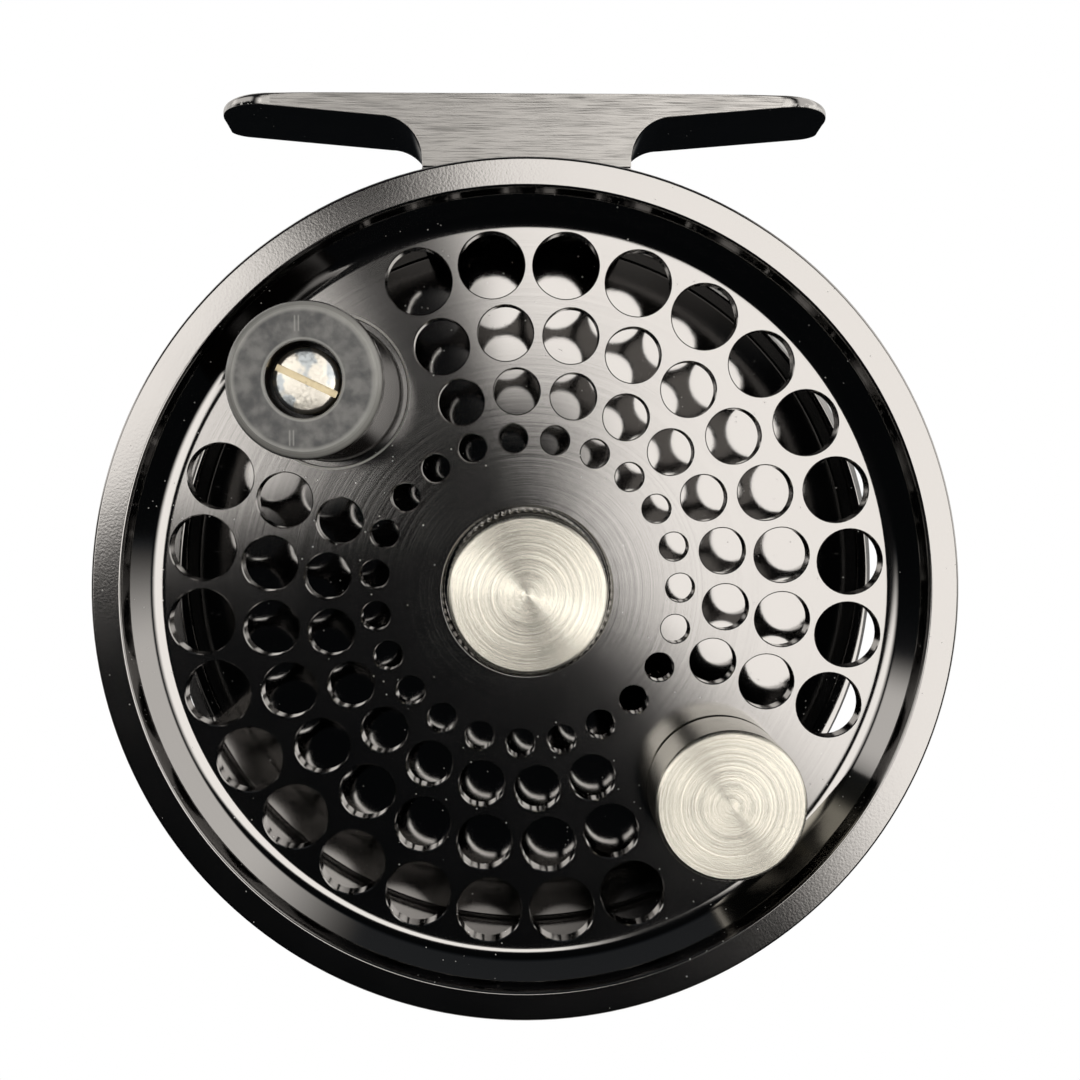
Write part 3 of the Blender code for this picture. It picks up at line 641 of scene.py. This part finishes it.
def window_tool(start, end, rim):
    """A block spun from start to end, which opens one side and bevels the back plate's rim."""
    low = WINDOW_FRONT - 0.1
    far = PLATE_FRONT - 0.3
    section = [(36, low), (44, low), (44, far + 16.9), (rim, far), (36, far)]
    across, up = polar(1, start, 0)
    tool = draw_chain("window", [(r * across, y, AXIS + r * up) for r, y in section])
    close_chain(tool)
    bpy.ops.mesh.select_all(action="SELECT")
    bpy.ops.mesh.edge_face_add()
    span = math.radians(end - start)
    bpy.ops.mesh.spin(steps=68, angle=span, center=(0, 0, AXIS), axis=(0, 1, 0))
    bpy.ops.mesh.select_all(action="SELECT")
    bpy.ops.mesh.remove_doubles(threshold=0.0005)
    bpy.ops.mesh.normals_make_consistent(inside=False)
    bpy.ops.object.mode_set(mode="OBJECT")
    return tool


def upright(piece):
    """Turn a piece made about Y so that its axis runs along Z."""
    bpy.ops.object.select_all(action="DESELECT")
    piece.select_set(True)
    bpy.context.view_layer.objects.active = piece
    piece.rotation_euler.x = math.pi / 2
    bpy.ops.object.transform_apply(location=True, rotation=True, scale=True)
    return piece


def make_frame():
    bore = 3.3
    section = [
        (38.7, RIM_FRONT + 1.6), (CAGE, RIM_FRONT + 1.6), (CAGE, PLATE_BACK - 1.0),
        (CAGE - 1.0, PLATE_BACK), (bore, PLATE_BACK), (bore, POCKET_FLOOR),
        (POCKET, POCKET_FLOOR), (POCKET, PLATE_FRONT), (38.1, PLATE_FRONT),
        (38.1, WINDOW_FRONT), (38.7, WINDOW_FRONT),
    ]
    cage = turned("frame_body", eased(section, 0.14))
    carve(cage, joined([window_tool(*RIGHT_WINDOW), window_tool(*LEFT_WINDOW)]))

    underside = 38.4
    corner = math.degrees(math.acos(LUG_HALF / underside))
    lug = [(-LUG_HALF, LUG_TOP), (LUG_HALF, LUG_TOP)]
    lug += arc((0, AXIS), underside, corner, 180 - corner, 16)
    low = WINDOW_FRONT + 0.1
    outline = [(x, low, z) for x, z in lug]
    carve(cage, slab("lug", outline, (0, PLATE_FRONT + 0.5 - low, 0)), "UNION")

    port = drill_section(PORT_RADIUS, PLATE_FRONT, PLATE_BACK, 0.2)
    ports = [polar(PORT_CIRCLE, 360 * (i + 0.5) / PORTS) for i in range(PORTS)]
    pin_hole = drill_section(PIN_HOLE, POCKET_FLOOR, PLATE_BACK)
    thrust_pins = [polar(PIN_CIRCLE, 90 + 120 * i) for i in range(3)]
    blind_hole = [(0, 9), (PIN_HOLE, 9), (PIN_HOLE, 11.8), (0, 11.8)]
    click_work = [polar(PAWL_CIRCLE, 62), polar(PAWL_CIRCLE, 112)]
    groups = [(port, 36, ports), (pin_hole, 16, thrust_pins), (blind_hole, 16, click_work)]
    drilled(cage, groups)
    floor_of_seat = FOOT_SCREW_SEAT + 0.3
    stepped = [
        (0, -12.2), (2.42, -12.2), (2.42, floor_of_seat), (1.37, floor_of_seat), (1.37, -5.7),
        (0, -5.7),
    ]
    first = upright(turned("seat", stepped, (0, 0), 32))
    carve(cage, joined([copied(first, (x, 0, 0)) for x in (-FOOT_SCREW_X, FOOT_SCREW_X)]))
    bpy.data.objects.remove(first)
    return settle(cage)


def finish_frame():
    made, shader, place = start_finish("frame_black")
    radius, away = outward(place)
    lines = grooves(radius, 0.03)
    dust = specks(place, 1.3, 0.055, 0.5)
    cloud = place.node("TexNoise", inputs={"Vector": place, "Scale": 0.2, "Detail": 4.0})
    normal = leaned(place, away, lines * 0.2)
    rough = 0.12 + 0.07 * cloud + 0.5 * dust
    colour = dust.blend(DYE, DUST)
    feed(shader, Base_Color=colour, Roughness=rough, Metallic=1 - dust, Normal=normal)
    return made


cage = make_frame()
cage.data.materials.append(finish_frame())
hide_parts("frame")
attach(cage, "frame")


# ---- foot screws ---------------------------------------------------------------------
# Two steel button-head screws with hex sockets, turned and then broached. Their heads are
# sunk in the lug, and they go up through it into the foot.
def finish_steel(name, colour=(0.62, 0.6, 0.57), rough=0.2):
    """Plain metal with faint stains, and turning marks about the reel's axis."""
    made, shader, place = start_finish(name)
    radius, away = outward(place)
    cloud = place.node("TexNoise", inputs={"Vector": place, "Scale": 0.9, "Detail": 5.0})
    stain = cloud.rise(0.45, 0.7)
    dark = tuple(0.72 * part for part in colour)
    normal = leaned(place, away, grooves(radius, 0.09) * 0.25)
    feed(shader, Base_Color=stain.blend(colour, dark), Roughness=rough + 0.12 * cloud,
         Metallic=1.0, Normal=normal)
    return made


def make_foot_screw():
    """One screw on the middle line, still in millimetres."""
    seat = FOOT_SCREW_SEAT
    head = 2.3
    shank = 1.25
    section = [
        (0, seat - 0.9), (1.5, seat - 0.9), (head, seat - 0.3), (head, seat), (shank, seat),
        (shank, -3.0), (0, -3.0),
    ]
    screw = upright(turned("foot_screw", eased(section, 0.1, closed=False), (0, 0), 40))
    bpy.ops.object.select_all(action="DESELECT")
    place = (0, 0, seat - 1.3)
    bpy.ops.mesh.primitive_cylinder_add(vertices=6, radius=0.8, depth=2, location=place)
    carve(screw, bpy.context.object)
    return screw


plain_steel = finish_steel("plain_steel")
first_screw = make_foot_screw()
for side, x in (("left", -FOOT_SCREW_X), ("right", FOOT_SCREW_X)):
    screw = settle(copied(first_screw, (x, 0, 0)))
    screw.name = "foot_screw_visual_" + side
    screw.data.materials.append(plain_steel)
    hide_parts("foot_screw_" + side)
    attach(screw, "frame")
bpy.data.objects.remove(first_screw)


# ---- cap -----------------------------------------------------------------------------
# A cup of bare aluminium screwed on the hub boss. Its flat front keeps the lathe's fine
# rings, and a knurled skirt sits just inside the recess.
CAP_FRONT = FACE - 4.0
SKIRT = 7.9                     # radius of the knurled skirt
KNURL = 0.972                   # the grooves of the knurl, as a share of that radius
CAP_SIDES = 192


def finish_turned(name, centre, front):
    """Bright lathe-turned aluminium: rings that lean the light outwards and inwards, and painted
    shade that darkens the side behind the front.
    """
    made, shader, place = start_finish(name)
    radius, away = outward(place, centre)
    fine = grooves(radius, 0.012, 1.0)
    coarse = grooves(radius, 0.35, 3.0)
    normal = leaned(place, away, fine * 1.5 + coarse * 0.02)
    cloud = place.node("TexNoise", inputs={"Vector": place, "Scale": 0.6, "Detail": 3.0})
    band = coarse.rise(-0.18, 0.2)
    colour = band.blend((0.70, 0.675, 0.595), (0.77, 0.745, 0.66))
    # Painted shade: the side behind the front is the same aluminium, painted darker where it turns
    # away from the light.
    side = place.parts()[1].rise(front + 0.1, front + 0.6)
    colour = side.blend(colour, (0.4, 0.385, 0.33))
    pits = specks(place, 0.9, 0.03, 0.4)
    feed(shader, Base_Color=pits.blend(colour, (0.12, 0.11, 0.1)), Metallic=1.0,
         Roughness=0.2 + 0.08 * cloud, Normal=normal)
    return made


def make_cap():
    section = [
        (0, CAP_FRONT), (7.3, CAP_FRONT), (7.58, CAP_FRONT + 0.12), (7.72, CAP_FRONT + 0.45),
        (7.72, FACE - 0.6), (SKIRT, FACE - 0.4), (SKIRT, FACE + 3.6), (6.2, FACE + 3.6),
        (6.2, -11.2), (0, -11.2),
    ]
    cap = turned("cap_visual", eased(section, 0.06, closed=False), sides=CAP_SIDES)
    bpy.ops.object.mode_set(mode="EDIT")

    def valley(vert):
        across = vert.co.x
        up = vert.co.z - AXIS
        step = round(math.atan2(up, across) / math.tau * CAP_SIDES)
        return step % 3 == 0 and math.hypot(across, up) > SKIRT - 0.05

    pick(cap, valley, "VERT")
    bpy.ops.transform.resize(value=(KNURL, 1, KNURL), center_override=(0, 0, AXIS))
    bpy.ops.object.mode_set(mode="OBJECT")
    return settle(cap)


cap = make_cap()
cap.data.materials.append(finish_turned("turned_cap", (0.0, AXIS), CAP_FRONT))
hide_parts("spool_cap")
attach(cap, "cap")


# ---- counterweight -------------------------------------------------------------------
# A plain turned slug of bare aluminium opposite the handle, held by a screw from behind.
WEIGHT = polar(ARM, PATTERN_ANGLE - 90)
WEIGHT_FRONT = -17.5


def make_counterweight():
    tapped = WEIGHT_SCREW_HOLE
    section = [
        (0, WEIGHT_FRONT), (6.85, WEIGHT_FRONT), (7.1, WEIGHT_FRONT + 0.12),
        (7.2, WEIGHT_FRONT + 0.4), (7.2, FACE - 0.5), (7.05, FACE - 0.3), (tapped, FACE - 0.3),
        (tapped, -14.6), (0, -14.6),
    ]
    return settle(turned("weight_visual", eased(section, 0.05, closed=False), WEIGHT, 128))


weight = make_counterweight()
weight.data.materials.append(finish_turned("turned_weight", WEIGHT, WEIGHT_FRONT))
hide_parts("counterweight")
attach(weight, "spool")


# ---- handle knob ---------------------------------------------------------------------
# A black plastic spool-shaped knob, turned, with a counterbore in its end. It spins on a
# bronze bushing, and a white washer keeps it off the spool.
HANDLE = polar(ARM, PATTERN_ANGLE + 90)
KNOB_TOP = FACE - 19.0
KNOB_FOOT = -9.65
COUNTERBORE = 3.25
COUNTERBORE_DEPTH = 4.6


def make_handle_knob():
    side = [
        (6.7, KNOB_FOOT), (6.9, KNOB_FOOT - 0.5), (6.6, KNOB_FOOT - 2.0), (5.7, KNOB_FOOT - 5.0),
        (5.45, KNOB_FOOT - 8.0), (5.6, KNOB_FOOT - 11.0), (6.2, KNOB_FOOT - 14.0),
        (6.65, KNOB_TOP + 2.2), (6.75, KNOB_TOP + 1.2), (6.6, KNOB_TOP + 0.55),
        (6.05, KNOB_TOP),
    ]
    inside = [
        (COUNTERBORE + 0.25, KNOB_TOP), (COUNTERBORE + 0.1, KNOB_TOP + 0.06),
        (COUNTERBORE, KNOB_TOP + 0.25), (COUNTERBORE, KNOB_TOP + COUNTERBORE_DEPTH),
        (2.4, KNOB_TOP + COUNTERBORE_DEPTH), (2.4, KNOB_FOOT),
    ]
    soft = eased(side, 1.0, 4, closed=False)
    knob = turned("knob_visual", soft + inside, HANDLE, 128)
    return settle(knob)


def finish_handle():
    made, shader, place = start_finish("worn_plastic")
    radius = outward(place, HANDLE)[0]
    across, depth, height = place.parts()
    face = depth.rise(KNOB_TOP + 0.25, KNOB_TOP + 0.05)
    cloud = place.node("TexNoise", inputs={"Vector": place, "Scale": 0.75, "Detail": 5.0})
    fine = place.node("TexNoise", inputs={"Vector": place, "Scale": 5.0, "Detail": 3.0})
    grey = cloud.rise(0.3, 0.72).blend((0.11, 0.113, 0.115), (0.28, 0.28, 0.272))
    pale_rim = radius.rise(5.6, 6.0) * depth.rise(KNOB_TOP + 0.9, KNOB_TOP + 0.3)
    pale_rim = pale_rim + radius.rise(3.6, 3.45) * depth.rise(KNOB_TOP + 0.4, KNOB_TOP + 0.1)
    colour = face.blend((0.006, 0.004, 0.0035), grey)
    colour = (pale_rim * 0.6).blend(colour, (0.55, 0.55, 0.52))
    mark = 0.0
    for x, z in ((-0.5, 4.7), (-1.0, -4.9)):
        for twin in (-0.16, 0.16):
            near = abs(across - (HANDLE[0] + x + twin)).rise(0.1, 0.03)
            mark = near * abs(height - (HANDLE[1] + z)).rise(0.75, 0.55) + mark
    colour = (mark * face * 0.45).blend(colour, (0.6, 0.6, 0.57))
    bump = place.node("Bump", inputs={"Height": fine, "Strength": 0.25, "Distance": 0.00003})
    rough = 0.16 + 0.34 * face + 0.08 * cloud
    feed(shader, Base_Color=colour, Roughness=rough, Normal=bump)
    return made


knob = make_handle_knob()
knob.data.materials.append(finish_handle())
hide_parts("handle_knob")
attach(knob, "handle")


# ---- handle screw --------------------------------------------------------------------
# A nickelled shoulder screw with a slightly domed, slotted head, sunk in the knob's end. It
# is turned, slotted with a saw, and screwed through the bushing into the spool.
HEAD = 2.84                     # radius of its head
HEAD_SEAT = KNOB_TOP + COUNTERBORE_DEPTH - 1.0


def make_slotted_screw(name, section, centre, slot_width, slot_depth, angle):
    """A turned screw, drawn from its head to its end, with a straight slot across the head."""
    screw = turned(name, eased(section, 0.08, closed=False), centre, 64)
    head = section[0][1]
    outwards = math.copysign(1.0, head - section[-1][1])
    bpy.ops.object.select_all(action="DESELECT")
    middle = (centre[0], head + outwards * (1 - slot_depth) / 2, centre[1])
    bpy.ops.mesh.primitive_cube_add(size=1, location=middle)
    saw = bpy.context.object
    saw.scale = (14, 1 + slot_depth, slot_width)
    saw.rotation_euler.y = math.radians(-angle)
    carve(screw, saw)
    return settle(screw)


def make_handle_screw():
    seat = HEAD_SEAT
    section = [
        (0, seat - 2.08), (1.6, seat - 2.06), (2.5, seat - 1.98), (HEAD, seat - 1.75),
        (HEAD, seat), (1.5, seat), (1.5, LINE_SIDE - 0.2), (0, LINE_SIDE - 0.2),
    ]
    return make_slotted_screw("handle_screw_visual", section, HANDLE, 0.6, 0.53, -25)


def finish_nickel():
    made, shader, place = start_finish("worn_nickel")
    radius, away = outward(place, HANDLE)
    cloud = place.node("TexNoise", inputs={"Vector": place, "Scale": 0.55, "Detail": 2.0})
    deep = place.parts()[1].rise(HEAD_SEAT - 1.85, HEAD_SEAT - 1.65) * radius.rise(3.0, 2.8)
    tarnish = cloud.rise(0.52, 0.62).blend((0.88, 0.84, 0.75), (0.52, 0.56, 0.58))
    colour = deep.blend(tarnish, (0.7, 0.6, 0.4))
    wear = place.node("TexNoise", inputs={"Vector": place, "Scale": 3.0, "Detail": 4.0})
    normal = leaned(place, away, (wear - 0.5) * 0.45)
    feed(shader, Base_Color=colour, Roughness=0.28 + 0.16 * wear, Metallic=1.0, Normal=normal)
    return made


handle_screw = make_handle_screw()
handle_screw.data.materials.append(finish_nickel())
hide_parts("handle_screw")
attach(handle_screw, "spool")


# ---- drag knob -----------------------------------------------------------------------
# A twelve-lobed knob of black anodised aluminium behind the back plate, hollow over the
# springs, and held on the spindle by a large slotted screw.
DRAG_FRONT = 13.05
DRAG_BACK = 20.4
DRAG_RADIUS = 12.5
LOBES = 12
LOBE_DEPTH = 0.55


def make_drag_knob():
    sides = LOBES * 10
    outline = []
    for i in range(sides):
        turn = 360 * i / sides
        dip = LOBE_DEPTH * (1 - math.cos(math.radians(LOBES * turn))) / 2
        x, z = polar(DRAG_RADIUS - dip, turn)
        outline.append((x, DRAG_FRONT, z))
    knob = slab("drag_knob_visual", outline, (0, DRAG_BACK - DRAG_FRONT, 0))
    bpy.ops.object.mode_set(mode="EDIT")
    pick(knob, lambda face: face.normal.y > 0.9)
    bpy.ops.mesh.inset(thickness=0.8, depth=0)      # a flat border keeps the shading even
    bpy.ops.object.mode_set(mode="OBJECT")
    soften(knob, 0.5, 60, 4)
    inside = [
        (0, DRAG_FRONT - 1), (9.2, DRAG_FRONT - 1), (9.2, 17.0), (3.12, 17.0), (3.12, 18.2),
        (4.4, 18.2), (4.4, DRAG_BACK - 0.3), (6.0, DRAG_BACK + 1.3), (0, DRAG_BACK + 1.3),
    ]
    carve(knob, turned("inside", inside, sides=96))
    pocket = [(0, DRAG_FRONT - 1), (0.87, DRAG_FRONT - 1), (0.87, 16.6), (0, 16.6)]
    carve(knob, turned("pocket", pocket, polar(10.8, 90), 24))
    return settle(knob)


drag_knob = make_drag_knob()
drag_knob.data.materials.append(bpy.data.materials["frame_black"])
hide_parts("drag_knob")
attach(drag_knob, "knob")


# ---- knob screw ----------------------------------------------------------------------
# A large slotted steel screw, turned, that holds the drag knob on the end of the spindle.
# Its head lies in the knob's dished back.
def make_knob_screw():
    section = [
        (0, 20.0), (3.6, 20.0), (3.9, 19.6), (3.9, 18.9), (1.2, 18.9), (1.2, 13.4), (0, 13.4),
    ]
    return make_slotted_screw("knob_screw_visual", section, (0.0, AXIS), 0.8, 0.6, 20)


knob_screw = make_knob_screw()
knob_screw.data.materials.append(plain_steel)
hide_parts("knob_screw")
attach(knob_screw, "frame")


# ---- pieces inside -------------------------------------------------------------------
# The spindle, clutch, drag stack, click work and small screws keep their solids and get
# finishes of steel, bronze, rubber, white plastic or friction composite.
def finish_soft(name, low, high, rough, scale):
    """Rubber, plastic or friction composite: a mottled matt surface."""
    made, shader, place = start_finish(name)
    cloud = place.node("TexNoise", inputs={"Vector": place, "Scale": scale, "Detail": 5.0})
    bump = place.node("Bump", inputs={"Height": cloud, "Strength": 0.4, "Distance": 0.00004})
    colour = cloud.rise(0.3, 0.7).blend(low, high)
    feed(shader, Base_Color=colour, Roughness=rough + 0.1 * cloud, Normal=bump)
    return made


spring_steel = finish_steel("blue_spring_steel", (0.34, 0.34, 0.36), 0.28)
bronze = finish_steel("bronze", (0.58, 0.38, 0.17), 0.3)
rubber = finish_soft("rubber", (0.012, 0.012, 0.012), (0.03, 0.03, 0.03), 0.6, 1.5)
white_plastic = finish_soft("white_plastic", (0.66, 0.65, 0.6), (0.76, 0.75, 0.71), 0.4, 1.0)
composite = finish_soft("friction_composite", (0.2, 0.11, 0.05), (0.42, 0.26, 0.14), 0.75, 2.5)
inner_finishes = {
    "cap_seal": rubber,
    "handle_washer": white_plastic,
    "friction_disc": composite,
    "front_bushing": bronze,
    "handle_bushing": bronze,
    "spindle_clip": spring_steel,
    "click_spring": spring_steel,
    "detent_spring": spring_steel,
    "drag_spring_1": spring_steel,
    "drag_spring_2": spring_steel,
    "drag_spring_3": spring_steel,
}
for name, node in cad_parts.items():
    if not node.hide_render:
        node.data.materials.clear()
        node.data.materials.append(inner_finishes.get(name, plain_steel))
